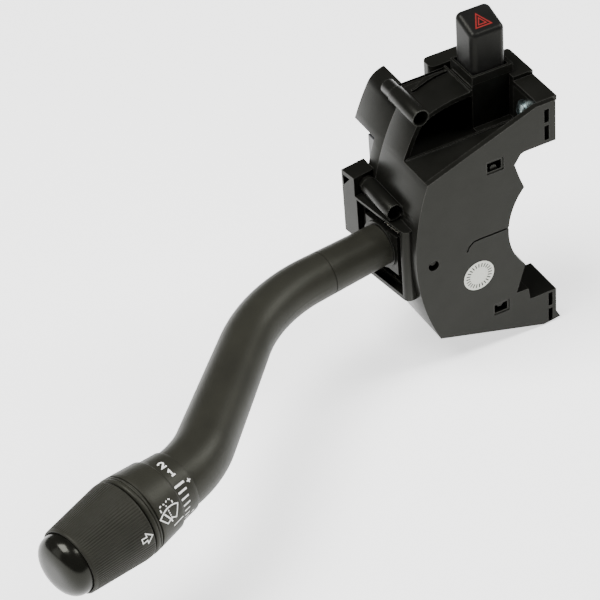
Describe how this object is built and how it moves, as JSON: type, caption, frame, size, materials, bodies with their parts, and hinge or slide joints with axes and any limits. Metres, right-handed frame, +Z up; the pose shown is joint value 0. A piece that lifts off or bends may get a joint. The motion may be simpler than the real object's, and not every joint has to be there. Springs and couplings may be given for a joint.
{
  "type": "combination stalk switch",
  "caption": "Column switch with a bent lever, ribbed turning knob, push cap, moulded housing cut out for the column, and a square hazard button.",
  "frame": {"origin": "steering column axis in the plane of the front plate's face", "axes": "+X from the lever towards the column, +Y away from the driver, +Z up"},
  "size_m": [0.2401, 0.1326, 0.1305],
  "materials": {
    "housing_black": "fine-grained satin moulding",
    "lever_black": "soft satin moulding with a fine grain",
    "knob_black": "satin, ribbed",
    "cap_gloss": "smooth semi-gloss",
    "button_black": "smooth satin",
    "nylon": "natural nylon",
    "connector_grey": "dark grey moulding",
    "board": "brown contact board",
    "steel": "ground pin steel",
    "spring_steel": "drawn spring wire",
    "zinc": "bright zinc plating with a cool cast",
    "brass": "stamped strip",
    "mark_white": "pad-printed ink",
    "hazard_red": "pad-printed ink",
    "sticker_white": "paper label"
  },
  "bodies": {
    "housing": {"front_housing": "housing_black", "rear_cover": "housing_black", "upper_housing": "housing_black", "lever_frame": "housing_black", "guide_peg": "housing_black", "turn_pin": "steel", "pawl_pin": "steel", "contact_board": "board", "detent_track": "nylon", "retaining_screw": "zinc", "screw_washer": "zinc", "turn_connector": "connector_grey", "turn_terminals": "brass", "wiper_connector": "connector_grey", "wiper_terminals": "brass", "hazard_spring": "spring_steel"},
    "carrier": {"carrier": "nylon", "beam_pin": "steel", "contact_bridge": "brass", "detent_spring": "spring_steel"},
    "detent": {"detent_plunger": "steel"},
    "pawl": {"cancel_pawl": "nylon"},
    "stalk": {"boot_shield": "housing_black", "stalk_root": "nylon", "stalk_arm": "lever_black", "mark_barrel": "lever_black", "knob_shaft": "nylon"},
    "knob": {"wiper_knob": "knob_black"},
    "washer": {"washer_button": "cap_gloss"},
    "hazard": {"hazard_button": "button_black"}
  },
  "joints": [
    {"name": "turn_signal", "type": "hinge", "parent": "housing", "child": "carrier", "pos_m": [-0.044, 0.017, 0], "axis": [0, 1, 0], "range_deg": [-8, 8]},
    {"name": "beam_pull", "type": "hinge", "parent": "carrier", "child": "stalk", "pos_m": [-0.056, 0.02225, 0], "axis": [0, 0, 1], "range_deg": [0, 8], "stiffness_Nm_per_rad": 0.6, "springref_deg": -5.73},
    {"name": "wiper_select", "type": "hinge", "parent": "stalk", "child": "knob", "pos_m": [-0.21307, -0.06002, 0], "axis": [-0.9472, -0.3206, 0], "range_deg": [-45, 71]},
    {"name": "washer_push", "type": "slide", "parent": "knob", "child": "washer", "axis": [0.9472, 0.3206, 0], "range_m": [0, 0.003], "stiffness_N_per_m": 800, "springref_m": -0.002},
    {"name": "hazard_push", "type": "slide", "parent": "housing", "child": "hazard", "axis": [0, 0, -1], "range_m": [0, 0.0045], "stiffness_N_per_m": 400, "springref_m": -0.003, "deforming": ["hazard_spring"]},
    {"name": "cancel_swing", "type": "hinge", "parent": "housing", "child": "pawl", "pos_m": [-0.0345, 0.01, 0], "axis": [0, 1, 0], "range_deg": [-14, 14], "stiffness_Nm_per_rad": 0.01},
    {"name": "detent_slide", "type": "slide", "parent": "carrier", "child": "detent", "axis": [0, 0, 1], "range_m": [0, 0.0015], "stiffness_N_per_m": 1500, "springref_m": -0.001, "deforming": ["detent_spring"]}
  ]
}
